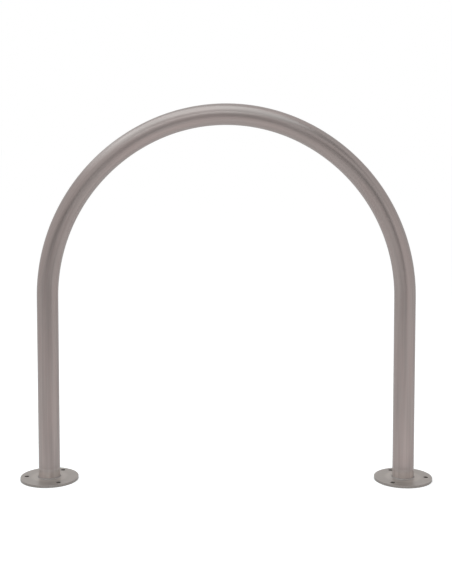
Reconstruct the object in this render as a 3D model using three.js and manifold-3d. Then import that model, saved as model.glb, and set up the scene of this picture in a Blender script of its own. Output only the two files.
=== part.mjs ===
// Hoop bike rack: one bent steel tube that stands on two round floor flanges.
// Millimetres, +Z up. The origin is on the ground, midway between the two feet.
// X runs along the hoop and Y runs across it.

import * as THREE from "three";
import { mergeVertices } from "three/addons/utils/BufferGeometryUtils.js";
import Module from "manifold-3d";

// Hoop
const overallWidth = 900; // over the outside of the tube
const bendStartHeight = 440; // where the straight legs run into the bend
const haunchAngle = 65; // that each side of the bend turns through before the crown, in degrees
const haunchEase = 11.5; // by which the haunches' radius is larger than a half circle's
const tubeDiameter = 50.8;
const tubeWall = 3;

// Floor flanges
const flangeThickness = 6;
const flangeRimChamfer = 0.6; // sharp rim broken all round, above and below
const anchorReach = 28.6; // from the tube's wall out to the middle of an anchor hole
const anchorEdge = 15; // from the middle of an anchor hole out to the rim
const anchorHoleDiameter = 11;
const anchorHoleChamfer = 0.4;
const anchorHoleCount = 3;

// The flanges are set by eye before they are welded, so the hole that should point
// outwards along the hoop is some degrees off, counted anticlockwise from above
const leftFlangeTurn = 2;
const rightFlangeTurn = -5.4;

// Welds
const filletLeg = 2.5; // of the dressed weld between the tube and the flange's top
const filletDip = 0.35; // how far its hollow face dips below a straight one
const rootRecess = 2.6; // the tube stops this far above the flange's underside
const rootSetback = 0.5; // the root weld stays this far above the ground
const rootBulge = 0.35; // how far its face swells, as it isn't dressed

// Clearance between pieces that pass through each other, and overrun of the cutters
const fitGap = 0.3;
const cutOverrun = 1;

// Facets
const tubeSides = 32;
const haunchSteps = 17;
const crownSteps = 14;
const flangeSides = 72;
const weldSides = 36;
const weldFaceSteps = 3;
const holeSides = 24;

// Sizes that follow from the ones above
const tubeRadius = tubeDiameter / 2;
const boreRadius = tubeRadius - tubeWall;
const legOffset = overallWidth / 2 - tubeRadius; // from the hoop's middle to a leg's
const haunchTurn = THREE.MathUtils.degToRad(haunchAngle);
const haunchRadius = legOffset + haunchEase;
const crownRadius = haunchRadius - haunchEase / Math.cos(haunchTurn); // ends over the middle
const flangeBoreRadius = tubeRadius + fitGap;
const anchorCircleRadius = tubeRadius + anchorReach;
const flangeRadius = anchorCircleRadius + anchorEdge;

const satinSteel = new THREE.MeshStandardMaterial({
  name: "satin_steel", color: 0x95908d, roughness: 0.34, metalness: 1,
});
const brushedPlate = new THREE.MeshStandardMaterial({
  name: "brushed_plate", color: 0x97938e, roughness: 0.42, metalness: 1,
});
const dressedWeld = new THREE.MeshStandardMaterial({
  name: "dressed_weld", color: 0x8e8985, roughness: 0.5, metalness: 1,
});
const rawWeld = new THREE.MeshStandardMaterial({
  name: "raw_weld", color: 0x817c79, roughness: 0.58, metalness: 1,
});

const wasm = await Module();
wasm.setup();

// Which way the centre line runs once it has turned so far from straight up, and the
// way to its right, where its arcs have their middles
function heading(turn) {
  return new THREE.Vector3(Math.sin(turn), 0, Math.cos(turn));
}

function rightOf(turn) {
  return new THREE.Vector3(Math.cos(turn), 0, -Math.sin(turn));
}

// The centre line of the tube, walked from foot to foot along straight runs and arcs
// that go over into each other without a kink. It is known at its stations, one at
// each end of a straight run and one at each step of an arc, and t counts them evenly.
class HoopCentreLine extends THREE.Curve {
  constructor(foot) {
    super();
    this.stations = [{ point: foot, turn: 0 }];
  }

  get steps() {
    return this.stations.length - 1;
  }

  straight(length) {
    const { point, turn } = this.stations.at(-1);
    this.stations.push({ point: point.clone().addScaledVector(heading(turn), length), turn });
    return this;
  }

  arc(radius, angle, steps) {
    const { point, turn } = this.stations.at(-1);
    const middle = point.clone().addScaledVector(rightOf(turn), radius);
    for (let i = 1; i <= steps; i += 1) {
      const turned = turn + (angle * i) / steps;
      const place = middle.clone().addScaledVector(rightOf(turned), -radius);
      this.stations.push({ point: place, turn: turned });
    }
    return this;
  }

  station(t) {
    return this.stations[Math.round(t * this.steps)];
  }

  getPoint(t) {
    return this.station(t).point.clone();
  }

  getTangent(t) {
    return heading(this.station(t).turn);
  }

  getPointAt(t) {
    return this.getPoint(t);
  }

  getTangentAt(t) {
    return this.getTangent(t);
  }
}

// One length of round tube, bent cold and left open at both ends. The haunches are
// bent a little wider than the crown, so the bend stands taller than a half circle.
function hoopTube() {
  const section = new THREE.Shape().absarc(0, 0, tubeRadius, 0, 2 * Math.PI);
  section.holes.push(new THREE.Path().absarc(0, 0, boreRadius, 0, 2 * Math.PI));
  const legLength = bendStartHeight - rootRecess;
  const centreLine = new HoopCentreLine(new THREE.Vector3(-legOffset, 0, rootRecess))
    .straight(legLength)
    .arc(haunchRadius, haunchTurn, haunchSteps)
    .arc(crownRadius, Math.PI - 2 * haunchTurn, crownSteps)
    .arc(haunchRadius, haunchTurn, haunchSteps)
    .straight(legLength);
  return new THREE.ExtrudeGeometry(section, {
    extrudePath: centreLine,
    steps: centreLine.steps,
    curveSegments: tubeSides / 2,
  });
}

// Turns a closed outline, given as radius and height, round the Z axis. The outline
// runs up its outer side and down its inner side.
function turned(outline, sides) {
  const points = outline.map(([radius, height]) => new THREE.Vector2(radius, height));
  const geometry = new THREE.LatheGeometry([...points, points[0].clone()], sides);
  return geometry.rotateX(Math.PI / 2);
}

function toSolid(geometry) {
  const bare = geometry.clone();
  bare.deleteAttribute("normal");
  bare.deleteAttribute("uv");
  const merged = mergeVertices(bare);
  return new wasm.Manifold(new wasm.Mesh({
    numProp: 3,
    vertProperties: new Float32Array(merged.attributes.position.array),
    triVerts: new Uint32Array(merged.index.array),
  }));
}

function toGeometry(solid) {
  const mesh = solid.getMesh();
  const geometry = new THREE.BufferGeometry();
  geometry.setAttribute("position", new THREE.BufferAttribute(mesh.vertProperties, 3));
  geometry.setIndex(new THREE.BufferAttribute(mesh.triVerts, 1));
  geometry.computeVertexNormals();
  return geometry;
}

// Round plate with a bore for the tube and its rim broken above and below
function flangeBlank() {
  return turned([
    [flangeBoreRadius, 0],
    [flangeRadius - flangeRimChamfer, 0],
    [flangeRadius, flangeRimChamfer],
    [flangeRadius, flangeThickness - flangeRimChamfer],
    [flangeRadius - flangeRimChamfer, flangeThickness],
    [flangeBoreRadius, flangeThickness],
  ], flangeSides);
}

// A plain hole with its upper edge lightly broken
function anchorHole() {
  const radius = anchorHoleDiameter / 2;
  const shoulder = flangeThickness - anchorHoleChamfer;
  const mouth = radius + anchorHoleChamfer + cutOverrun;
  const top = flangeThickness + cutOverrun;
  const outline = [[0, -cutOverrun], [radius, -cutOverrun], [radius, shoulder], [mouth, top], [0, top]];
  const points = outline.map(([r, z]) => new THREE.Vector2(r, z));
  return new THREE.LatheGeometry(points, holeSides).rotateX(Math.PI / 2);
}

// The first anchor hole is at firstAngle, and the others follow round the circle
function flange(firstAngle) {
  let plate = toSolid(flangeBlank());
  for (let i = 0; i < anchorHoleCount; i += 1) {
    const angle = firstAngle + (2 * Math.PI * i) / anchorHoleCount;
    const x = anchorCircleRadius * Math.cos(angle);
    const y = anchorCircleRadius * Math.sin(angle);
    plate = plate.subtract(toSolid(anchorHole().translate(x, y, 0)));
  }
  return toGeometry(plate);
}

// Points from one end of a weld's face to the other, bowed by sag to its right
function weldFace(start, end, sag) {
  const from = new THREE.Vector2(...start);
  const to = new THREE.Vector2(...end);
  const along = to.clone().sub(from);
  const right = new THREE.Vector2(along.y, -along.x).normalize();
  const middle = from.clone().add(to).divideScalar(2).addScaledVector(right, 2 * sag);
  const face = new THREE.QuadraticBezierCurve(from, middle, to);
  return face.getPoints(weldFaceSteps).map((point) => [point.x, point.y]);
}

// Small hollow-faced ring in the corner between the tube and the flange's top
function filletWeld() {
  const inner = tubeRadius + fitGap;
  const toe = [inner + filletLeg, flangeThickness];
  const crown = [inner, flangeThickness + filletLeg];
  return turned([[inner, flangeThickness], ...weldFace(toe, crown, -filletDip)], weldSides);
}

// Ring under the tube's open end, inside the flange's bore and clear of the ground
function rootWeld() {
  const outer = flangeBoreRadius - fitGap;
  const low = [outer, rootSetback];
  const high = [boreRadius, rootRecess];
  return turned([[outer, rootRecess], ...weldFace(high, low, rootBulge)], weldSides);
}

function piece(name, geometry, material) {
  const mesh = new THREE.Mesh(geometry, material);
  mesh.name = name;
  return mesh;
}

// outward is the direction along the hoop, away from the other foot
function foot(name, place, outward, turn) {
  const group = new THREE.Group();
  group.position.x = place;
  group.add(
    piece(`${name}_flange`, flange(outward + THREE.MathUtils.degToRad(turn)), brushedPlate),
    piece(`${name}_fillet_weld`, filletWeld(), dressedWeld),
    piece(`${name}_root_weld`, rootWeld(), rawWeld),
  );
  return group;
}

const rack = new THREE.Group();
rack.add(
  piece("hoop_tube", hoopTube(), satinSteel),
  foot("left", -legOffset, Math.PI, leftFlangeTurn),
  foot("right", legOffset, 0, rightFlangeTurn),
);

export default rack;
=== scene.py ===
import math

import bpy
from bpy.props import FloatProperty, FloatVectorProperty, IntProperty, PointerProperty
from bpy.types import Operator, Panel, PropertyGroup
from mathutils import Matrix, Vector


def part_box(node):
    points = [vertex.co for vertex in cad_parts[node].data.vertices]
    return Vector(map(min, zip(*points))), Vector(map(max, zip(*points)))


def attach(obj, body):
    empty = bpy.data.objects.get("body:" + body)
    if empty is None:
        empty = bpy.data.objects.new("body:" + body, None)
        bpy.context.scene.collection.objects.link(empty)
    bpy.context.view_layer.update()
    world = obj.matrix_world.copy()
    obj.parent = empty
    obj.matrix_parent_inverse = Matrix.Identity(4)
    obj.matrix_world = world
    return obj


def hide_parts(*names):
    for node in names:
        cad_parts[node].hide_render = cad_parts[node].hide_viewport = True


# The fixed frame of the bike hoop, in metres: X along the hoop, Y through it, Z up
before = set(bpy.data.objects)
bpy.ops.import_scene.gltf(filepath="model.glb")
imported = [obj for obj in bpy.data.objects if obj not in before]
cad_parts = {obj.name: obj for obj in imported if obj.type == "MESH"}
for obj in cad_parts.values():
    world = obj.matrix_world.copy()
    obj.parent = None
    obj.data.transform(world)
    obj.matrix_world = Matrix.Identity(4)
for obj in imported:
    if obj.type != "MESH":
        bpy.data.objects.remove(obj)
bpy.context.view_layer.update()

bl_info = {
    "name": "Bike Hoop",
    "version": (1, 0, 0),
    "blender": (4, 5, 0),
    "location": "View3D > Sidebar > Bike Hoop",
    "description": "Bent satin steel hoop, welded to two round floor flanges, in a white studio",
    "category": "Add Mesh",
}

BODY = "root"
MILLIMETRE = 0.001
UP = Vector((0, 0, 1))
LAMP_WATTS_PER_LEVEL = 4  # for each square metre of lamp
SOFTBOX_TINT = (0.87, 1, 1.02)  # a little cooler than the room
EDGE_TINT = (0.7, 0.7, 0.7, 1)  # steel mirrors less at a slant than a perfect metal
MERGE_GAP = 0.01 * MILLIMETRE  # points this close are one
SHARP_TURN = math.radians(40)  # faces that turn less from one to the next are shaded smooth
GRAIN_MAP = "across_grain"  # the map of a piece, with U across its grinding lines

# Sizes and places that the frame gives
TUBE_LOW, TUBE_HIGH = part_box("hoop_tube")
TUBE_RADIUS = TUBE_HIGH.y
TUBE_FOOT = TUBE_LOW.z
LEG_PLACE = TUBE_HIGH.x - TUBE_RADIUS
FLANGE_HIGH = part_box("left_flange")[1]
FLANGE_TOP = FLANGE_HIGH.z
FLANGE_RADIUS = FLANGE_HIGH.y
FILLET_LOW, FILLET_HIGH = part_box("left_fillet_weld")
ROOT_LOW, ROOT_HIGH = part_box("left_root_weld")

DEBURRING_STEPS = 2
ROUNDING_STEPS = 3
EDGE_TURN = math.radians(60)  # edges of a flange that turn by more are rounded
BIT_LENGTH = 4 * FLANGE_TOP  # of the drill that cuts the anchor holes

# Soft lamps: name, place, the point each faces, width, height, and how much brighter than the
# room it shows in the steel
SOFTBOXES = (
    ("overhead_softbox", (-0.15, -0.25, 1.8), (0, 0, 0.9), 2.05, 0.9, 1.25),
    ("front_softbox", (-0.45, -2.65, 2.15), (0, 0, 0.45), 1.65, 0.35, 2.8),
    ("side_softbox", (-1.55, -0.1, 2.1), (0, 0, 0.7), 3.65, 0.75, 0.75),
)
# Cards that only the steel mirrors: name, place, the point each faces, width, height and level
CARDS = (
    ("camera_flag", (2.05, -3.35, 0.35), (0, 0, 0.45), 5.1, 2.5, 0.2),
    ("right_flag", (0.9, -1.25, 2.45), (0, 0, 0.45), 2.2, 1.75, 0.25),
    ("left_flag", (-0.7, -1.3, 0.55), (0, 0, 0.45), 0.85, 0.25, 0),
    ("upper_flag", (-0.45, -1.45, 1.75), (0, 0, 0.6), 0.5, 0.2, 0.7),
    ("right_reflector", (0.7, -0.35, 0.1), (0, 0, 0.45), 0.8, 1.75, 1.25),
)
# The same that lie flat over the floor: name, place, width, depth and level
FLOOR_CARDS = (
    ("floor_flag", (-0.75, -2.35, 0.02), 6.9, 1.25, 0.4),
    ("middle_floor_card", (0.1, -0.6, 0.01), 0.45, 1.4, 1.35),
    ("left_floor_card", (-0.7, -0.75, 0.01), 1.1, 1.2, 1.05),
    ("right_floor_card", (0.6, -1.05, 0.01), 0.5, 0.95, 0.6),
    ("right_foot_card", (0.55, -0.3, 0.01), 0.45, 0.4, 1.5),
)

# Each foot: its name, where its leg stands, and the direction away from the other foot
FEET = (
    ("left", -LEG_PLACE, math.pi),
    ("right", LEG_PLACE, 0),
)


# Settings

class TubeSettings(PropertyGroup):
    """Sizes of the bent tube that the frame doesn't give"""

    wall: FloatProperty(
        name="Wall", description="Thickness of the tube's wall",
        default=3 * MILLIMETRE, min=MILLIMETRE, unit="LENGTH", precision=4,
    )
    deburring: FloatProperty(
        name="Deburring", description="Rounding of the tube's two cut ends",
        default=0.4 * MILLIMETRE, min=0, unit="LENGTH", precision=4,
    )
    bend_start: FloatProperty(
        name="Bend start", description="How high the legs are straight",
        default=440 * MILLIMETRE, min=0, unit="LENGTH", precision=4,
    )
    haunch_angle: FloatProperty(
        name="Haunch angle", description="What each side of the bend turns through before the crown",
        default=math.radians(65), min=math.radians(5), max=math.radians(85), subtype="ANGLE",
    )
    sides: IntProperty(
        name="Sides", description="Flat sides round the tube", default=96, min=12,
    )
    bend_step: FloatProperty(
        name="Bend step", description="Angle from one ring of the bend to the next",
        default=math.radians(1.25), min=math.radians(0.5), subtype="ANGLE",
    )
    leg_steps: IntProperty(
        name="Leg steps", description="Steps up each straight leg", default=12, min=1,
    )


class FlangeSettings(PropertyGroup):
    """Sizes of the floor flanges that the frame doesn't give"""

    bore_gap: FloatProperty(
        name="Bore gap", description="Gap between the tube and the flange's bore",
        default=0.3 * MILLIMETRE, min=0, unit="LENGTH", precision=4,
    )
    hole_circle: FloatProperty(
        name="Hole circle", description="From the leg's centre to the middle of an anchor hole",
        default=54 * MILLIMETRE, min=0, unit="LENGTH", precision=4,
    )
    hole_diameter: FloatProperty(
        name="Hole diameter", description="Width of an anchor hole",
        default=11 * MILLIMETRE, min=MILLIMETRE, unit="LENGTH", precision=4,
    )
    hole_count: IntProperty(
        name="Holes", description="Anchor holes in each flange", default=3, min=1,
    )
    left_turn: FloatProperty(
        name="Left turn", description="How far round the left flange was welded on",
        default=math.radians(2), subtype="ANGLE",
    )
    right_turn: FloatProperty(
        name="Right turn", description="How far round the right flange was welded on",
        default=math.radians(-5.4), subtype="ANGLE",
    )
    edge_rounding: FloatProperty(
        name="Edge rounding", description="Rounding of the rim and the holes' edges",
        default=0.5 * MILLIMETRE, min=0, unit="LENGTH", precision=4,
    )
    sides: IntProperty(
        name="Sides", description="Flat sides round the rim", default=144, min=24,
    )
    hole_sides: IntProperty(
        name="Hole sides", description="Flat sides round an anchor hole", default=48, min=12,
    )


class WeldSettings(PropertyGroup):
    """Shape of the welds, inside the rings that the frame gives"""

    sides: IntProperty(
        name="Sides", description="Steps round a weld", default=180, min=24,
    )
    face_steps: IntProperty(
        name="Face steps", description="Steps across a weld's face", default=6, min=2,
    )
    fillet_dip: FloatProperty(
        name="Fillet dip", description="How far the dressed face is hollowed",
        default=0.45 * MILLIMETRE, min=0, unit="LENGTH", precision=5,
    )
    fillet_unevenness: FloatProperty(
        name="Fillet unevenness", description="How far hand dressing leaves the fillet's toe uneven",
        default=0.25 * MILLIMETRE, min=0, unit="LENGTH", precision=5,
    )
    bead_ripple: FloatProperty(
        name="Bead ripple", description="Height of the ripples on the raw weld",
        default=0.16 * MILLIMETRE, min=0, unit="LENGTH", precision=5,
    )
    bead_pitch: FloatProperty(
        name="Bead pitch", description="Distance from one ripple of the raw weld to the next",
        default=1.9 * MILLIMETRE, min=0.5 * MILLIMETRE, unit="LENGTH", precision=4,
    )


class FinishSettings(PropertyGroup):
    """Colours and gloss of the steel"""

    tube_colour: FloatVectorProperty(
        name="Tube", description="Satin steel of the tube", subtype="COLOR", size=3,
        default=(0.278, 0.23, 0.2185), min=0, max=1,
    )
    tube_streak_colour: FloatVectorProperty(
        name="Tube streaks", description="Cooler steel in the streaks along the tube", subtype="COLOR",
        size=3, default=(0.272, 0.2325, 0.221), min=0, max=1,
    )
    plate_colour: FloatVectorProperty(
        name="Plate", description="Brushed steel of the flanges", subtype="COLOR", size=3,
        default=(0.338, 0.301, 0.279), min=0, max=1,
    )
    # Painted light near the foot: the tube's colour is made this many times brighter there, to cancel the
    # darker reflection of the flange
    tube_painted_light: FloatVectorProperty(
        name="Tube painted light", description="How many times as bright the tube is where its weld was dressed",
        size=3, default=(2.1, 2.22, 2.22), min=1,
    )
    # How far up the tube the painted light goes
    painted_light_height: FloatProperty(
        name="Painted light height", description="How far up the tube the dressing goes",
        default=25 * MILLIMETRE, min=0, unit="LENGTH", precision=4,
    )
    # Painted light near the leg: the plate's colour is made this many times brighter there, against the
    # tube's shade and darker reflection
    plate_painted_light: FloatVectorProperty(
        name="Plate painted light", description="How many times as bright the plate is beside its dressed weld",
        size=3, default=(1.21, 1.21, 1.21), min=1,
    )
    # How far out over the plate the painted light goes
    painted_light_reach: FloatProperty(
        name="Painted light reach", description="How far out over the plate the dressing goes",
        default=20 * MILLIMETRE, min=0, unit="LENGTH", precision=4,
    )
    rim_share: FloatProperty(
        name="Rim", description="Brightness of the flange's cut rim, as a share of its faces",
        default=0.68, min=0, max=1, subtype="FACTOR",
    )
    # Painted shade: the walls of the anchor holes and the bore are darkened to this share of the rim
    hole_painted_shade: FloatProperty(
        name="Holes", description="Brightness of the anchor holes' walls, as a share of the rim",
        default=0.68, min=0, max=1, subtype="FACTOR",
    )
    fillet_colour: FloatVectorProperty(
        name="Dressed weld", description="Ground weld at the foot of the tube", subtype="COLOR", size=3,
        default=(0.27, 0.244, 0.232), min=0, max=1,
    )
    bead_colour: FloatVectorProperty(
        name="Raw weld", description="Weld bead under the flange", subtype="COLOR", size=3,
        default=(0.215, 0.198, 0.185), min=0, max=1,
    )
    heat_colour: FloatVectorProperty(
        name="Heat tint", description="What welding heat leaves on the raw bead", subtype="COLOR",
        size=3, default=(0.262, 0.215, 0.172), min=0, max=1,
    )
    streak_depth: FloatProperty(
        name="Streak depth", description="How much darker or lighter the tube is in its streaks",
        default=0.1, min=0, max=1, subtype="FACTOR",
    )
    metal_share: FloatProperty(
        name="Metal share", description="How much of the light the satin steel mirrors; the rest it scatters",
        default=0.6, min=0, max=1, subtype="FACTOR",
    )
    grain_spread: FloatProperty(
        name="Grain spread", description="How much more the grain spreads light across than along",
        default=0.3, min=0, max=1, subtype="FACTOR",
    )
    tube_roughness: FloatProperty(
        name="Tube roughness", description="0 is a mirror and 1 is dull",
        default=0.3, min=0, max=1, subtype="FACTOR",
    )
    plate_roughness: FloatProperty(
        name="Plate roughness", description="0 is a mirror and 1 is dull",
        default=0.36, min=0, max=1, subtype="FACTOR",
    )


class StageSettings(PropertyGroup):
    """Camera, floor and lamps"""

    camera_place: FloatVectorProperty(
        name="Camera place", description="Where the camera stands", subtype="XYZ", size=3, unit="LENGTH",
        default=(0.0078, -2.5615, 0.8488),
    )
    camera_tilt: FloatProperty(
        name="Camera tilt", description="How far the camera looks down",
        default=0.0691, subtype="ANGLE",
    )
    camera_swing: FloatProperty(
        name="Camera swing", description="How far the camera is turned to the left",
        default=0.0032, subtype="ANGLE",
    )
    camera_lens: FloatProperty(
        name="Lens", description="Focal length for a 36 mm sensor", default=67.04, min=1,
    )
    camera_shift: FloatProperty(
        name="Shift", description="Upright shift of the picture, as a share of its long side",
        default=-0.1575,
    )
    floor_half_width: FloatProperty(
        name="Floor", description="Half the width of the floor", default=30, min=1, unit="LENGTH",
    )
    floor_gap: FloatProperty(
        name="Floor gap", description="How far the floor is below the flanges, so that the two don't flicker",
        default=0.1 * MILLIMETRE, min=0, unit="LENGTH", precision=5,
    )
    floor_colour: FloatVectorProperty(
        name="Floor colour", description="Pale floor", subtype="COLOR", size=3,
        default=(0.9, 0.9, 0.9), min=0, max=1,
    )
    room_level: FloatProperty(
        name="Room", description="How brightly the white room lights things", default=0.8, min=0, max=1,
    )


# Selecting and shaping

def clear_selection():
    """The frame's nodes stay selected after loading, and an operator acts on all that is selected"""
    if bpy.context.object and bpy.context.object.mode != "OBJECT":
        bpy.ops.object.mode_set(mode="OBJECT")
    bpy.ops.object.select_all(action="DESELECT")


def make_active(piece):
    clear_selection()
    piece.select_set(True)
    bpy.context.view_layer.objects.active = piece


def add_ring(radius, sides, centre):
    """An open ring of edges, left selected in edit mode"""
    clear_selection()
    bpy.ops.mesh.primitive_circle_add(vertices=sides, radius=radius, fill_type="NOTHING", location=centre)
    ring = bpy.context.object
    bpy.ops.object.transform_apply(location=True, rotation=True, scale=True)
    bpy.ops.object.mode_set(mode="EDIT")
    bpy.ops.mesh.select_all(action="SELECT")
    return ring


def draw_out(move, steps=1):
    """Extrudes the selected ring by move, in equal steps"""
    for _ in range(steps):
        bpy.ops.mesh.extrude_edges_move(
            TRANSFORM_OT_translate={"value": move / steps, "orient_type": "GLOBAL"},
        )


def draw_to(centre, radius, height, last_radius, last_height):
    """Extrudes the selected ring and widens or narrows it to a new radius and height"""
    draw_out(UP * (height - last_height))
    share = radius / last_radius
    bpy.ops.transform.resize(value=(share, share, 1), center_override=(centre.x, centre.y, height))


def select_edges(piece, wanted):
    """Selects the edges whose two ends wanted() accepts together, and leaves edit mode on"""
    bpy.ops.object.mode_set(mode="EDIT")
    bpy.ops.mesh.select_mode(type="EDGE")
    bpy.ops.mesh.select_all(action="DESELECT")
    bpy.ops.object.mode_set(mode="OBJECT")
    mesh = piece.data
    for edge in mesh.edges:
        edge.select = wanted([mesh.vertices[i].co for i in edge.vertices])
    bpy.ops.object.mode_set(mode="EDIT")


def close_up(piece):
    """Merges doubled points and turns all faces outwards"""
    bpy.ops.object.mode_set(mode="EDIT")
    bpy.ops.mesh.select_all(action="SELECT")
    bpy.ops.mesh.remove_doubles(threshold=MERGE_GAP)
    bpy.ops.mesh.normals_make_consistent(inside=False)
    bpy.ops.object.mode_set(mode="OBJECT")


def apply_modifier(piece, name, kind, **settings):
    """Adds a modifier with these settings and applies it"""
    make_active(piece)
    modifier = piece.modifiers.new(name, kind)
    for setting, value in settings.items():
        setattr(modifier, setting, value)
    bpy.ops.object.modifier_apply(modifier=name)


def smooth(piece):
    make_active(piece)
    bpy.ops.object.shade_smooth_by_angle(angle=SHARP_TURN)


def hand_over(piece, name, node, material):
    """Names a finished piece and puts it in the place of the frame's node"""
    piece.name = name
    piece.data.name = name
    piece.data.materials.clear()
    piece.data.materials.append(material)
    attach(piece, BODY)
    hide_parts(node)


def store_places(piece, name, place_of):
    """Keeps a point for each vertex, worked out by place_of(), for the finish to follow"""
    layer = piece.data.attributes.new(name, "FLOAT_VECTOR", "POINT")
    for vertex, item in zip(piece.data.vertices, layer.data):
        item.vector = place_of(vertex.co)


# The tube

class HoopLine:
    """The centre line of the tube: two straight legs, an arc at each haunch, and a slightly
    tighter one at the crown that makes up the height the frame gives"""

    def __init__(self, settings):
        self.start = settings.bend_start
        self.haunch_angle = settings.haunch_angle
        self.crown_angle = math.pi / 2 - settings.haunch_angle  # to each side of the middle
        rise, lean = math.tan(self.haunch_angle), 1 / math.cos(self.haunch_angle)
        spare_height = TUBE_HIGH.z - TUBE_RADIUS - LEG_PLACE - self.start
        self.ease = spare_height / (1 + rise - lean)
        self.haunch_radius = LEG_PLACE + self.ease
        self.crown_radius = self.haunch_radius - self.ease * lean
        self.crown_centre = self.start + self.ease * rise
        self.crown_end = self.crown_radius * self.crown_angle
        self.half_length = self.crown_end + self.haunch_radius * self.haunch_angle + self.start

    def straight_place(self, point):
        """The point's place on the tube before it was bent: along it from the middle of the crown,
        across it, and out from its centre line in the hoop's plane"""
        reach = abs(point.x)
        over_crown = point.z - self.crown_centre
        over_haunch = point.z - self.start
        if math.atan2(reach, over_crown) < self.crown_angle:
            along = self.crown_radius * math.atan2(reach, over_crown)
            out = math.hypot(reach, over_crown) - self.crown_radius
        elif over_haunch > 0:
            angle = math.atan2(reach + self.ease, over_haunch) - self.crown_angle
            along = self.crown_end + self.haunch_radius * angle
            out = math.hypot(reach + self.ease, over_haunch) - self.haunch_radius
        else:
            along = self.half_length - point.z
            out = reach - LEG_PLACE
        return Vector((math.copysign(along, point.x), point.y, out))


def unroll_tube(tube, line):
    """Lays the tube out flat as a map: U runs round it, across the grinding lines, and V along it"""
    mesh = tube.data
    layer = mesh.uv_layers.new(name=GRAIN_MAP)
    for face in mesh.polygons:
        middle = line.straight_place(face.center)
        seam_angle = math.atan2(middle.y, middle.z)
        for corner in face.loop_indices:
            place = line.straight_place(mesh.vertices[mesh.loops[corner].vertex_index].co)
            angle = math.atan2(place.y, place.z)
            angle += math.tau * round((seam_angle - angle) / math.tau)
            layer.data[corner].uv = (0.5 + 0.5 * angle / math.tau, 0.5 + 0.5 * place.x / line.half_length)


def bend_over(angle, centre, step):
    """Spins the selected ring through an arc of the hoop, over to the right"""
    bpy.ops.mesh.spin(steps=round(angle / step), angle=-angle, center=centre, axis=(0, 1, 0))


class BIKEHOOP_OT_bend_tube(Operator):
    """Bends one length of tube into the hoop and gives it its wall"""

    bl_idname = "bike_hoop.bend_tube"
    bl_label = "Bend Tube"

    def execute(self, context):
        settings = context.scene.bike_hoop_tube
        line = HoopLine(settings)
        leg = UP * (line.start - TUBE_FOOT)
        tube = add_ring(TUBE_RADIUS, settings.sides, Vector((-LEG_PLACE, 0, TUBE_FOOT)))
        draw_out(leg, settings.leg_steps)
        bend_over(line.haunch_angle, (line.ease, 0, line.start), settings.bend_step)
        bend_over(2 * line.crown_angle, (0, 0, line.crown_centre), settings.bend_step)
        bend_over(line.haunch_angle, (-line.ease, 0, line.start), settings.bend_step)
        draw_out(-leg, settings.leg_steps)
        close_up(tube)
        apply_modifier(
            tube, "Wall", "SOLIDIFY", thickness=settings.wall, offset=-1, use_rim=True,
        )
        if settings.deburring > 0:
            cut_end = TUBE_FOOT + settings.deburring
            select_edges(tube, lambda ends: all(end.z < cut_end for end in ends))
            bpy.ops.mesh.bevel(offset=settings.deburring, segments=DEBURRING_STEPS, affect="EDGES")
            bpy.ops.object.mode_set(mode="OBJECT")
        smooth(tube)
        store_places(tube, "straight_tube", line.straight_place)
        unroll_tube(tube, line)
        hand_over(tube, "bent_hoop", "hoop_tube", satin_tube_finish(context.scene))
        return {"FINISHED"}


# The flanges

def flange_blank(centre, settings):
    """A flat ring of plate, drawn in from the rim to the bore and given its thickness"""
    plate = add_ring(FLANGE_RADIUS, settings.sides, centre)
    bore = TUBE_RADIUS + settings.bore_gap
    draw_to(centre, bore, centre.z, FLANGE_RADIUS, centre.z)
    bpy.ops.mesh.select_all(action="SELECT")
    bpy.ops.mesh.extrude_region_move(
        TRANSFORM_OT_translate={"value": (0, 0, FLANGE_TOP - centre.z), "orient_type": "GLOBAL"},
    )
    close_up(plate)
    return plate


def drill(plate, centre, settings, first_angle):
    """Drills the anchor holes, evenly spaced on their circle"""
    for i in range(settings.hole_count):
        angle = first_angle + math.tau * i / settings.hole_count
        place = centre + settings.hole_circle * Vector((math.cos(angle), math.sin(angle), 0))
        clear_selection()
        bpy.ops.mesh.primitive_cylinder_add(
            vertices=settings.hole_sides, radius=settings.hole_diameter / 2,
            depth=BIT_LENGTH, location=place,
        )
        bit = bpy.context.object
        apply_modifier(plate, "Hole", "BOOLEAN", operation="DIFFERENCE", solver="EXACT", object=bit)
        bpy.data.objects.remove(bit)


def unroll_flange(plate, centre):
    """Lays the flange out flat as a map: U runs across the hoop on its faces and round it on its
    walls, as the grinding lines and the cut's edge do"""
    mesh = plate.data
    layer = mesh.uv_layers.new(name=GRAIN_MAP)
    for face in mesh.polygons:
        is_flat = abs(face.normal.z) > 0.5
        way_round = Vector((-face.normal.y, face.normal.x, 0))
        for corner in face.loop_indices:
            place = mesh.vertices[mesh.loops[corner].vertex_index].co - centre
            along = place.y if is_flat else place.dot(way_round)
            layer.data[corner].uv = (along, place.x if is_flat else place.z)


class BIKEHOOP_OT_cut_flanges(Operator):
    """Cuts both floor flanges from plate, drills their anchor holes and breaks their edges"""

    bl_idname = "bike_hoop.cut_flanges"
    bl_label = "Cut Flanges"

    def execute(self, context):
        settings = context.scene.bike_hoop_flange
        turns = {"left": settings.left_turn, "right": settings.right_turn}
        finish = brushed_plate_finish(context.scene)
        for side, place, outward in FEET:
            centre = Vector((place, 0, 0))
            plate = flange_blank(centre, settings)
            drill(plate, centre, settings, outward + turns[side])
            apply_modifier(
                plate, "Broken edges", "BEVEL", width=settings.edge_rounding, segments=ROUNDING_STEPS,
                limit_method="ANGLE", angle_limit=EDGE_TURN, use_clamp_overlap=True,
            )
            close_up(plate)
            smooth(plate)
            apply_modifier(plate, "Flat faces", "WEIGHTED_NORMAL", keep_sharp=True, weight=100)
            store_places(plate, "from_leg", lambda point: point - centre)
            unroll_flange(plate, centre)
            hand_over(plate, f"{side}_floor_flange", f"{side}_flange", finish)
        return {"FINISHED"}


# The welds

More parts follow.
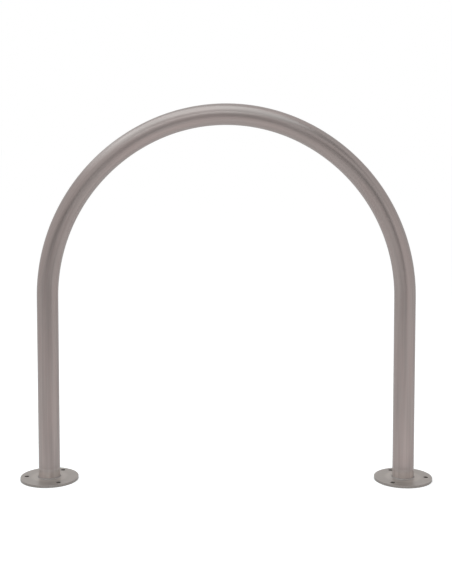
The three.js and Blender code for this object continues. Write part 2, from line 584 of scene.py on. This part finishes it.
# Waves of the wobble that hand dressing leaves: how often round the ring, share and phase
DRESSING_WAVES = ((3, 0.4, 0.7), (7, 0.3, 2.1), (13, 0.2, 4.4), (29, 0.1, 1.3))
CRESCENT_SHARE = 0.6  # how far a ripple's middle trails behind its ends, as a share of half the pitch
RIPPLE_POWER = 1.5  # a ripple rises slowly and drops at once


def bowed_face(start, end, bow, steps):
    """Radius and height at each step from start to end, bowed to the right of that way by bow"""
    along = Vector(end) - Vector(start)
    right = Vector((along.y, -along.x)).normalized()
    points = []
    for i in range(steps + 1):
        share = i / steps
        points.append(Vector(start) + along * share + right * bow * math.sin(math.pi * share))
    return points


def weld_ring(centre, outline, sides):
    """A closed ring of weld: a ring of edges is drawn along the outline and bridged to its start"""
    first = outline[0]
    ring = add_ring(first.x, sides, centre + UP * first.y)
    last = first
    for point in outline[1:]:
        draw_to(centre, point.x, point.y, last.x, last.y)
        last = point
    select_edges(
        ring, lambda ends: any(all(is_on(end, centre, loop) for end in ends) for loop in (first, last)),
    )
    bpy.ops.mesh.bridge_edge_loops()
    close_up(ring)
    return ring


def is_on(point, centre, outline_point):
    """Whether a point of a ring lies where the outline's point was swept"""
    radius = math.hypot(point.x - centre.x, point.y - centre.y)
    return max(abs(radius - outline_point.x), abs(point.z - outline_point.y)) < MERGE_GAP


def wobble_round(angle):
    """A seamless wobble round a ring, from -1 to 1"""
    return sum(share * math.sin(count * angle + phase) for count, share, phase in DRESSING_WAVES)


def dress_unevenly(ring, centre, settings, outward):
    """Moves the toe of the fillet in and out, as hand dressing leaves it"""
    inner = TUBE_RADIUS
    width = FILLET_HIGH.y - inner
    for vertex in ring.data.vertices:
        offset = vertex.co - centre
        angle = math.atan2(offset.y, offset.x) - outward
        radius = math.hypot(offset.x, offset.y)
        toe_share = max(0, (radius - inner) / width) ** 2
        pull = settings.fillet_unevenness * (0.5 + 0.5 * wobble_round(angle)) * toe_share
        vertex.co -= Vector((offset.x, offset.y, 0)) * (pull / radius)


def ripple_bead(ring, centre, settings, low, high):
    """Sinks the raw weld's underside between the ripples that its pools left as they froze"""
    ripples = round(math.tau * ROOT_HIGH.y / settings.bead_pitch)
    for vertex in ring.data.vertices:
        offset = vertex.co - centre
        radius = math.hypot(offset.x, offset.y)
        share = (radius - low) / (high - low)
        face = math.sin(math.pi * min(1, max(0, share)))
        lag = CRESCENT_SHARE * math.pi / ripples * math.cos(math.pi * share)
        turn = (math.atan2(offset.y, offset.x) + lag) * ripples / math.tau % 1
        vertex.co.z += settings.bead_ripple * face * turn ** RIPPLE_POWER


class BIKEHOOP_OT_dress_fillets(Operator):
    """Makes the small dressed weld round the foot of each leg"""

    bl_idname = "bike_hoop.dress_fillets"
    bl_label = "Dress Fillets"

    def execute(self, context):
        settings = context.scene.bike_hoop_weld
        gap = context.scene.bike_hoop_flange.bore_gap
        inner = TUBE_RADIUS + gap
        finish = dressed_weld_finish(context.scene)
        for side, place, outward in FEET:
            centre = Vector((place, 0, 0))
            toe = (FILLET_HIGH.y, FILLET_LOW.z)
            crown = (inner, FILLET_HIGH.z)
            corner = Vector((inner, FILLET_LOW.z))
            face = bowed_face(toe, crown, -settings.fillet_dip, settings.face_steps)
            ring = weld_ring(centre, [*face, corner], settings.sides)
            dress_unevenly(ring, centre, settings, outward)
            smooth(ring)
            store_places(ring, "from_leg", lambda point: point - centre)
            hand_over(ring, f"{side}_dressed_fillet", f"{side}_fillet_weld", finish)
        return {"FINISHED"}


class BIKEHOOP_OT_lay_root_beads(Operator):
    """Makes the raw weld that closes the tube's end inside each flange's bore"""

    bl_idname = "bike_hoop.lay_root_beads"
    bl_label = "Lay Root Beads"

    def execute(self, context):
        settings = context.scene.bike_hoop_weld
        inner = TUBE_RADIUS - context.scene.bike_hoop_tube.wall
        outer = ROOT_HIGH.y
        finish = raw_weld_finish(context.scene)
        for side, place, _ in FEET:
            centre = Vector((place, 0, 0))
            high = (inner, ROOT_HIGH.z)
            low = (outer, ROOT_LOW.z)
            corner = Vector((outer, ROOT_HIGH.z))
            face = bowed_face(high, low, settings.bead_ripple, settings.face_steps)
            ring = weld_ring(centre, [*face, corner], 2 * settings.sides)
            ripple_bead(ring, centre, settings, inner, outer)
            smooth(ring)
            store_places(ring, "from_leg", lambda point: point - centre)
            hand_over(ring, f"{side}_root_bead", f"{side}_root_weld", finish)
        return {"FINISHED"}


# Finishes

# Lines and breaks for each metre of a finish's grain
TUBE_GRAIN = (900, 9)
PLATE_GRAIN = (2200, 60)
FILLET_GRAIN = (1500, 500)
BAND_SHARES = (0.3, 0.13, 0.13)  # how often bands come, as shares of the breaks and the lines

# Cloudy patches for each metre of a finish
TUBE_PATCHES = 9
PLATE_PATCHES = 26
FILLET_PATCHES = 90
BEAD_PATCHES = 140
SPOTS_PER_PATCH = 3.7

# How often other noises change in a metre, along each direction of the place that they follow
TUBE_STREAKS = (2.5, 150, 150)
TUBE_HUES = (7, 80, 80)
RIM_CUTS = (1500, 1500, 130)
# the wobbling edge of the painted light near the feet
PAINTED_LIGHT_WOBBLES = 90

# Where the values of a noise mostly lie
NOISE_RANGE = (0.36, 0.64)
HUE_RANGE = (0.38, 0.62)
CUT_RANGE = (0.35, 0.65)
SPOT_RANGE = (0.58, 0.72)
WOBBLE_RANGE = (0.2, 0.8)

# Darkest and lightest shade of a finish, as shares of its colour
PLATE_SHADES = (0.95, 1.05)
CUT_SHADES = (0.86, 1.14)
FILLET_SHADES = (0.92, 1.08)
BEAD_SHADES = (0.8, 1.12)

# How much a finish's roughness changes with its tone, and where it was rubbed
TUBE_ROUGHNESS_CHANGES = (0.02, 0.04)
PLATE_ROUGHNESS_CHANGES = (0.03, 0.05)
FILLET_ROUGHNESS = (0.42, 0.54)
BEAD_ROUGHNESS = (0.42, 0.6)
HEAT_SHARE = 0.7  # how strong the heat tint is at most

# Strength and height of a finish's relief
TUBE_RELIEF = (0.2, 0.02 * MILLIMETRE)
PLATE_RELIEF = (0.3, 0.02 * MILLIMETRE)
FILLET_RELIEF = (0.4, 0.03 * MILLIMETRE)
BEAD_RELIEF = (0.5, 0.15 * MILLIMETRE)

# Painted light near the feet is full up to a share of its reach, and keeps off the tube's inside and the
# flange's walls: each millimetre into the tube's wall or down from the flange's top counts as several
FULL_PAINTED_LIGHT_SHARE = 0.4
LEAST_PAINTED_LIGHT = 0.85  # where it wobbles
TUBE_DEPTH_COUNT = 20
PLATE_DEPTH_COUNT = 5

# Heights and radii between which a flange's faces go over into its walls, and the painted shade of its holes
# and bore into its rim
WALL_FOOT = (0.1 * MILLIMETRE, 0.2 * MILLIMETRE)
WALL_HEAD = (FLANGE_TOP - 0.2 * MILLIMETRE, FLANGE_TOP - 0.4 * MILLIMETRE)
RIM_BAND = (FLANGE_RADIUS - 2 * MILLIMETRE, FLANGE_RADIUS - MILLIMETRE)


def add_node(tree, kind, values=None, **settings):
    """Adds a node. values gives its inputs by name or number: another node's output, or a plain value"""
    node = tree.nodes.new(kind)
    for setting, value in settings.items():
        setattr(node, setting, value)
    for socket, value in (values or {}).items():
        if isinstance(value, bpy.types.NodeSocket):
            tree.links.new(value, node.inputs[socket])
        else:
            node.inputs[socket].default_value = value
    return node


def math_node(tree, operation, first, second):
    return add_node(tree, "ShaderNodeMath", {0: first, 1: second}, operation=operation).outputs[0]


def mean_of(tree, values):
    total = values[0]
    for value in values[1:]:
        total = math_node(tree, "ADD", total, value)
    return math_node(tree, "DIVIDE", total, len(values))


def spread(tree, value, low, high, new_low=0, new_high=1, way="LINEAR"):
    """Stretches the stretch from low to high onto the one from new_low to new_high"""
    return add_node(
        tree, "ShaderNodeMapRange", {0: value, 1: low, 2: high, 3: new_low, 4: new_high},
        interpolation_type=way,
    ).outputs[0]


def stretch(tree, value, shares):
    """Multiplies the three parts of a place or colour, each by its own share"""
    node = add_node(tree, "ShaderNodeVectorMath", {0: value, 1: shares}, operation="MULTIPLY")
    return node.outputs[0]


def scaled(tree, colour, share):
    """A socket's colour, times another socket's value"""
    return add_node(tree, "ShaderNodeVectorMath", {0: colour, 3: share}, operation="SCALE").outputs[0]


def length_of(tree, place):
    return add_node(tree, "ShaderNodeVectorMath", {0: place}, operation="LENGTH").outputs["Value"]


def height_of(tree, place):
    return add_node(tree, "ShaderNodeSeparateXYZ", {0: place}).outputs[2]


def object_place(tree):
    return add_node(tree, "ShaderNodeTexCoord").outputs["Object"]


def stored_place(tree, name):
    """The place that store_places() kept"""
    return add_node(
        tree, "ShaderNodeAttribute", attribute_name=name, attribute_type="GEOMETRY",
    ).outputs["Vector"]


def noise(tree, place, detail, roughness, scale=1):
    """Smooth noise that follows a place"""
    return add_node(
        tree, "ShaderNodeTexNoise",
        {"Vector": place, "Scale": scale, "Detail": detail, "Roughness": roughness},
    ).outputs[0]


def blend_colours(tree, factor, first, second):
    node = add_node(tree, "ShaderNodeMix", {"Factor": factor}, data_type="RGBA", clamp_factor=True)
    for socket, value in zip((s for s in node.inputs if s.type == "RGBA"), (first, second)):
        if isinstance(value, bpy.types.NodeSocket):
            tree.links.new(value, socket)
        else:
            socket.default_value = (*value, 1)
    return next(s for s in node.outputs if s.type == "RGBA")


def tinted(colour, share):
    """The same colour, lighter for a share above 1 and darker for one below"""
    return tuple(min(1, value * share) for value in colour)


def shaded(tree, tone, colour, shades):
    """The colour's darker shade where the tone is 0 and its lighter one where it is 1"""
    return blend_colours(tree, tone, *(tinted(colour, share) for share in shades))


def new_group(name, inputs, outputs):
    """An empty shader group with these inputs and outputs, and its two end nodes"""
    tree = bpy.data.node_groups.new(name, "ShaderNodeTree")
    for label, kind in inputs:
        tree.interface.new_socket(name=label, in_out="INPUT", socket_type=kind)
    for label in outputs:
        tree.interface.new_socket(name=label, in_out="OUTPUT", socket_type="NodeSocketFloat")
    return tree, tree.nodes.new("NodeGroupInput"), tree.nodes.new("NodeGroupOutput")


def belt_grain():
    """Fine lines that a grinding belt leaves. They run along the place's first direction."""
    if "belt_grain" in bpy.data.node_groups:
        return bpy.data.node_groups["belt_grain"]
    tree, given, result = new_group(
        "belt_grain",
        [("Place", "NodeSocketVector"), ("Lines per metre", "NodeSocketFloat"),
         ("Breaks per metre", "NodeSocketFloat")],
        ["Height", "Band"],
    )
    lines, breaks = given.outputs["Lines per metre"], given.outputs["Breaks per metre"]
    scale = add_node(tree, "ShaderNodeCombineXYZ", {0: breaks, 1: lines, 2: lines}).outputs[0]
    place = stretch(tree, given.outputs["Place"], scale)
    fine = noise(tree, place, detail=3, roughness=0.7)
    coarse = noise(tree, stretch(tree, place, BAND_SHARES), detail=2, roughness=0.6)
    tree.links.new(fine, result.inputs["Height"])
    tree.links.new(coarse, result.inputs["Band"])
    return tree


def handling_marks():
    """Soft cloudy patches and a few rubbed spots, from 0 to 1"""
    if "handling_marks" in bpy.data.node_groups:
        return bpy.data.node_groups["handling_marks"]
    tree, given, result = new_group(
        "handling_marks",
        [("Place", "NodeSocketVector"), ("Patches per metre", "NodeSocketFloat")],
        ["Cloud", "Rubbed"],
    )
    place, count = given.outputs["Place"], given.outputs["Patches per metre"]
    spot_count = math_node(tree, "MULTIPLY", count, SPOTS_PER_PATCH)
    cloud = noise(tree, place, detail=2, roughness=0.5, scale=count)
    spots = noise(tree, place, detail=4, roughness=0.6, scale=spot_count)
    tree.links.new(cloud, result.inputs["Cloud"])
    tree.links.new(spread(tree, spots, *SPOT_RANGE, way="SMOOTHSTEP"), result.inputs["Rubbed"])
    return tree


def grain_at(tree, place, grain):
    """Height and bands of the belt's grain"""
    lines, breaks = grain
    node = add_node(
        tree, "ShaderNodeGroup", {"Place": place, "Lines per metre": lines, "Breaks per metre": breaks},
        node_tree=belt_grain(),
    )
    return node.outputs["Height"], node.outputs["Band"]


def marks_at(tree, place, patches):
    """Clouds and rubbed spots of the handling marks"""
    node = add_node(
        tree, "ShaderNodeGroup", {"Place": place, "Patches per metre": patches},
        node_tree=handling_marks(),
    )
    return node.outputs["Cloud"], node.outputs["Rubbed"]


def tone_of(tree, noises):
    """The mean of the noises, from 0 to 1"""
    return spread(tree, mean_of(tree, noises), *NOISE_RANGE)


def steel(name, metal, spread_across=0):
    """A new material for bare steel. Returns it with its tree and its shader."""
    material = bpy.data.materials.new(name)
    material.use_nodes = True
    tree = material.node_tree
    shader = tree.nodes["Principled BSDF"]
    shader.inputs["Metallic"].default_value = metal
    shader.inputs["Anisotropic"].default_value = spread_across
    shader.inputs["Specular Tint"].default_value = EDGE_TINT
    return material, tree, shader


def comb(tree, shader):
    """Lets the steel spread light across its grinding lines"""
    tangent = add_node(tree, "ShaderNodeTangent", direction_type="UV_MAP", uv_map=GRAIN_MAP)
    tree.links.new(tangent.outputs[0], shader.inputs["Tangent"])


def add_relief(tree, shader, height, strength, distance):
    bump = add_node(
        tree, "ShaderNodeBump", {"Height": height, "Strength": strength, "Distance": distance},
    )
    tree.links.new(bump.outputs[0], shader.inputs["Normal"])


def vary_roughness(tree, shader, middle, changes, tone, rubbed):
    """Makes the steel a little duller where the tone is high and where it was rubbed"""
    tone_change, rubbed_change = changes
    even = spread(tree, tone, 0, 1, middle - tone_change, middle + tone_change)
    extra = math_node(tree, "MULTIPLY", rubbed, rubbed_change)
    tree.links.new(math_node(tree, "ADD", even, extra), shader.inputs["Roughness"])


def painted_light_on(tree, colour, distance, reach, dressing):
    """The colour with painted light: made brighter by the three shares in dressing, a painted gain, where the
    distance is small
    """
    near = spread(tree, distance, FULL_PAINTED_LIGHT_SHARE * reach, reach, 1, 0, way="SMOOTHSTEP")
    wobble = noise(tree, object_place(tree), detail=3, roughness=0.5, scale=PAINTED_LIGHT_WOBBLES)
    amount = math_node(tree, "MULTIPLY", near, spread(tree, wobble, *WOBBLE_RANGE, LEAST_PAINTED_LIGHT, 1))
    return stretch(tree, colour, blend_colours(tree, amount, (1, 1, 1), dressing))


def satin_tube_finish(scene):
    """Satin tube: grinding lines and soft streaks along it, and painted light at its foot that makes up for
    the darker reflection of the flange there
    """
    settings = scene.bike_hoop_finish
    material, tree, shader = steel("satin_tube_steel", settings.metal_share, settings.grain_spread)
    place = stored_place(tree, "straight_tube")
    lines, bands = grain_at(tree, place, TUBE_GRAIN)
    rubbed = marks_at(tree, place, TUBE_PATCHES)[1]
    streaks = noise(tree, stretch(tree, place, TUBE_STREAKS), detail=3, roughness=0.6)
    hues = noise(tree, stretch(tree, place, TUBE_HUES), detail=2, roughness=0.5)
    tone = tone_of(tree, (bands, streaks, streaks))
    hue = blend_colours(
        tree, spread(tree, hues, *HUE_RANGE), settings.tube_colour, settings.tube_streak_colour,
    )
    depth = settings.streak_depth
    bare = scaled(tree, hue, spread(tree, tone, 0, 1, 1 - depth, 1 + depth))
    # Painted light: the tube's colour is lifted near its foot, where the steel mirrors the darker flange
    above_weld = math_node(tree, "SUBTRACT", height_of(tree, object_place(tree)), FILLET_HIGH.z)
    into_wall = math_node(tree, "SUBTRACT", TUBE_RADIUS, length_of(tree, stretch(tree, place, (0, 1, 1))))
    distance = math_node(tree, "ADD", above_weld, math_node(tree, "MULTIPLY", into_wall, TUBE_DEPTH_COUNT))
    dressed = painted_light_on(tree, bare, distance, settings.painted_light_height, settings.tube_painted_light)
    tree.links.new(dressed, shader.inputs["Base Color"])
    vary_roughness(tree, shader, settings.tube_roughness, TUBE_ROUGHNESS_CHANGES, tone, rubbed)
    comb(tree, shader)
    add_relief(tree, shader, lines, *TUBE_RELIEF)
    return material


def brushed_plate_finish(scene):
    """Brushed plate: straight lines along the hoop on its faces, upright cutting lines on its rim"""
    settings = scene.bike_hoop_finish
    material, tree, shader = steel("brushed_plate_steel", settings.metal_share, settings.grain_spread)
    place = stored_place(tree, "from_leg")
    lines, bands = grain_at(tree, place, PLATE_GRAIN)
    cloud, rubbed = marks_at(tree, place, PLATE_PATCHES)
    tone = tone_of(tree, (bands, cloud))
    bare = shaded(tree, tone, settings.plate_colour, PLATE_SHADES)
    radius = length_of(tree, stretch(tree, place, (1, 1, 0)))
    height = height_of(tree, place)
    # Painted light: the plate's colour is lifted near the leg, where the tube's shade and darker reflection
    # fall
    from_weld = math_node(tree, "SUBTRACT", radius, FILLET_HIGH.y)
    depth = math_node(tree, "SUBTRACT", FLANGE_TOP, height)
    distance = math_node(tree, "ADD", from_weld, math_node(tree, "MULTIPLY", depth, PLATE_DEPTH_COUNT))
    dressed = painted_light_on(tree, bare, distance, settings.painted_light_reach, settings.plate_painted_light)
    # Cutting lines show only on the rim and in the holes
    wall = math_node(
        tree, "MULTIPLY", spread(tree, height, *WALL_FOOT), spread(tree, height, *WALL_HEAD),
    )
    cuts = noise(tree, stretch(tree, place, RIM_CUTS), detail=2, roughness=0.6)
    rim_colour = tinted(settings.plate_colour, settings.rim_share)
    rim = shaded(tree, spread(tree, cuts, *CUT_RANGE), rim_colour, CUT_SHADES)
    # Painted shade: the walls inside the rim band, in the holes and the bore, are darkened to the holes'
    # share
    cut_faces_and_hole_shade = scaled(tree, rim, spread(tree, radius, *RIM_BAND, settings.hole_painted_shade, 1))
    tree.links.new(blend_colours(tree, wall, dressed, cut_faces_and_hole_shade), shader.inputs["Base Color"])
    vary_roughness(tree, shader, settings.plate_roughness, PLATE_ROUGHNESS_CHANGES, tone, rubbed)
    comb(tree, shader)
    face_relief = math_node(tree, "MULTIPLY", lines, math_node(tree, "SUBTRACT", 1, wall))
    relief = math_node(tree, "ADD", face_relief, math_node(tree, "MULTIPLY", cuts, wall))
    add_relief(tree, shader, relief, *PLATE_RELIEF)
    return material


def dressed_weld_finish(scene):
    """Weld ground smooth by hand, with short crossing marks"""
    settings = scene.bike_hoop_finish
    material, tree, shader = steel("dressed_weld_steel", settings.metal_share)
    place = stored_place(tree, "from_leg")
    lines, bands = grain_at(tree, place, FILLET_GRAIN)
    cloud = marks_at(tree, place, FILLET_PATCHES)[0]
    tone = tone_of(tree, (bands, cloud))
    ground = shaded(tree, tone, settings.fillet_colour, FILLET_SHADES)
    tree.links.new(ground, shader.inputs["Base Color"])
    tree.links.new(spread(tree, tone, 0, 1, *FILLET_ROUGHNESS), shader.inputs["Roughness"])
    add_relief(tree, shader, lines, *FILLET_RELIEF)
    return material


def raw_weld_finish(scene):
    """Weld bead as laid: dull, with darker skin in cloudy patches and heat tint in spots"""
    settings = scene.bike_hoop_finish
    material, tree, shader = steel("raw_weld_steel", settings.metal_share)
    place = stored_place(tree, "from_leg")
    cloud, rubbed = marks_at(tree, place, BEAD_PATCHES)
    tone = tone_of(tree, (cloud,))
    skin = shaded(tree, tone, settings.bead_colour, BEAD_SHADES)
    heat = math_node(tree, "MULTIPLY", rubbed, HEAT_SHARE)
    tree.links.new(blend_colours(tree, heat, skin, settings.heat_colour), shader.inputs["Base Color"])
    tree.links.new(spread(tree, tone, 0, 1, *BEAD_ROUGHNESS), shader.inputs["Roughness"])
    add_relief(tree, shader, cloud, *BEAD_RELIEF)
    return material


def plain_material(name):
    """A new material without a shader. Returns it with its tree and its output's socket."""
    material = bpy.data.materials.new(name)
    material.use_nodes = True
    tree = material.node_tree
    tree.nodes.remove(tree.nodes["Principled BSDF"])
    return material, tree, tree.nodes["Material Output"].inputs["Surface"]


def being_seen(tree):
    """1 where the camera sees a thing, also in steel or through glass, and 0 where it lights others"""
    ray = add_node(tree, "ShaderNodeLightPath").outputs
    seen = math_node(tree, "MAXIMUM", ray["Is Camera Ray"], ray["Is Glossy Ray"])
    return math_node(tree, "MAXIMUM", seen, ray["Is Transmission Ray"])


def light_room(scene):
    """A room that lights things at its level, and is seen as plain white"""
    room = bpy.data.worlds.new("white_room")
    room.use_nodes = True
    tree = room.node_tree
    background = tree.nodes["Background"]
    background.inputs["Color"].default_value = (1, 1, 1, 1)
    level = math_node(tree, "MAXIMUM", being_seen(tree), scene.bike_hoop_stage.room_level)
    tree.links.new(level, background.inputs["Strength"])
    scene.world = room


def pale_floor_finish(scene):
    """Matt white paint. It is seen lighter than it is lit, so that it runs into the white room
    without an edge"""
    settings = scene.bike_hoop_stage
    material, tree, surface = plain_material("pale_floor")
    paint = add_node(tree, "ShaderNodeBsdfDiffuse", {"Color": (*settings.floor_colour, 1)}).outputs[0]
    lift = 1 - settings.room_level * max(settings.floor_colour)
    lift = math_node(tree, "MULTIPLY", being_seen(tree), lift)
    glow = add_node(tree, "ShaderNodeEmission", {"Strength": lift}).outputs[0]
    tree.links.new(add_node(tree, "ShaderNodeAddShader", {0: paint, 1: glow}).outputs[0], surface)
    return material


def card_finish(name, level):
    """A card that is seen at a plain level of grey"""
    material, tree, surface = plain_material(name)
    tree.links.new(add_node(tree, "ShaderNodeEmission", {"Strength": level}).outputs[0], surface)
    return material


# The studio

def turned_to(place, target):
    """The rotation that turns a lamp, card or camera at place towards target"""
    return (Vector(target) - Vector(place)).to_track_quat("-Z", "Y").to_euler()


def softbox(name, place, rotation, width, height, level):
    """A soft lamp that shows in the steel as that much brighter than the room"""
    clear_selection()
    bpy.ops.object.light_add(type="AREA", location=place, rotation=rotation)
    lamp = bpy.context.object
    lamp.name = name
    lamp.data.shape = "RECTANGLE"
    lamp.data.size = width
    lamp.data.size_y = height
    lamp.data.energy = level * LAMP_WATTS_PER_LEVEL * width * height
    lamp.data.color = SOFTBOX_TINT
    lamp.visible_camera = False


def card(name, place, rotation, width, height, level):
    """A grey card that the steel mirrors, and that nothing else sees"""
    clear_selection()
    bpy.ops.mesh.primitive_plane_add(size=1, location=place, rotation=rotation)
    panel = bpy.context.object
    panel.name = name
    bpy.ops.transform.resize(value=(width, height, 1), orient_type="LOCAL")
    panel.data.materials.append(card_finish(name, level))
    panel.visible_camera = False
    panel.visible_diffuse = False
    panel.visible_transmission = False
    panel.visible_shadow = False


class BIKEHOOP_OT_set_stage(Operator):
    """Sets the pale floor, the white room, the soft lamps and the camera"""

    bl_idname = "bike_hoop.set_stage"
    bl_label = "Set Stage"

    def execute(self, context):
        settings = context.scene.bike_hoop_stage
        clear_selection()
        bpy.ops.mesh.primitive_plane_add(
            size=2 * settings.floor_half_width, location=(0, 0, -settings.floor_gap),
        )
        ground = bpy.context.object
        ground.name = "floor"
        ground.data.materials.append(pale_floor_finish(context.scene))

        light_room(context.scene)

        for name, place, target, *rest in SOFTBOXES:
            softbox(name, place, turned_to(place, target), *rest)
        for name, place, target, *rest in CARDS:
            card(name, place, turned_to(place, target), *rest)
        for name, place, *rest in FLOOR_CARDS:
            card(name, place, (0, 0, 0), *rest)

        bpy.ops.object.camera_add(
            location=settings.camera_place,
            rotation=(math.pi / 2 - settings.camera_tilt, 0, settings.camera_swing),
        )
        camera = bpy.context.object
        camera.data.lens = settings.camera_lens
        camera.data.shift_y = settings.camera_shift
        context.scene.camera = camera
        context.scene.view_settings.view_transform = "Standard"
        return {"FINISHED"}


# The panel

OPERATORS = (
    BIKEHOOP_OT_bend_tube,
    BIKEHOOP_OT_cut_flanges,
    BIKEHOOP_OT_dress_fillets,
    BIKEHOOP_OT_lay_root_beads,
    BIKEHOOP_OT_set_stage,
)
SETTINGS = {
    "bike_hoop_tube": TubeSettings,
    "bike_hoop_flange": FlangeSettings,
    "bike_hoop_weld": WeldSettings,
    "bike_hoop_finish": FinishSettings,
    "bike_hoop_stage": StageSettings,
}


class BIKEHOOP_PT_panel(Panel):
    """Lists the steps that make the hoop, and the settings they read"""

    bl_label = "Bike Hoop"
    bl_idname = "BIKEHOOP_PT_panel"
    bl_space_type = "VIEW_3D"
    bl_region_type = "UI"
    bl_category = "Bike Hoop"

    def draw(self, context):
        for operator in OPERATORS:
            self.layout.operator(operator.bl_idname)
        for name, settings in SETTINGS.items():
            box = self.layout.box()
            box.label(text=settings.__doc__)
            for setting in settings.__annotations__:
                box.prop(getattr(context.scene, name), setting)


def register():
    for settings in SETTINGS.values():
        bpy.utils.register_class(settings)
    for operator in OPERATORS:
        bpy.utils.register_class(operator)
    bpy.utils.register_class(BIKEHOOP_PT_panel)
    for name, settings in SETTINGS.items():
        setattr(bpy.types.Scene, name, PointerProperty(type=settings))


def unregister():
    for name in SETTINGS:
        delattr(bpy.types.Scene, name)
    bpy.utils.unregister_class(BIKEHOOP_PT_panel)
    for operator in reversed(OPERATORS):
        bpy.utils.unregister_class(operator)
    for settings in reversed(SETTINGS.values()):
        bpy.utils.unregister_class(settings)


def main():
    register()
    bpy.ops.bike_hoop.bend_tube()
    bpy.ops.bike_hoop.cut_flanges()
    bpy.ops.bike_hoop.dress_fillets()
    bpy.ops.bike_hoop.lay_root_beads()
    bpy.ops.bike_hoop.set_stage()


if __name__ == "__main__":
    main()
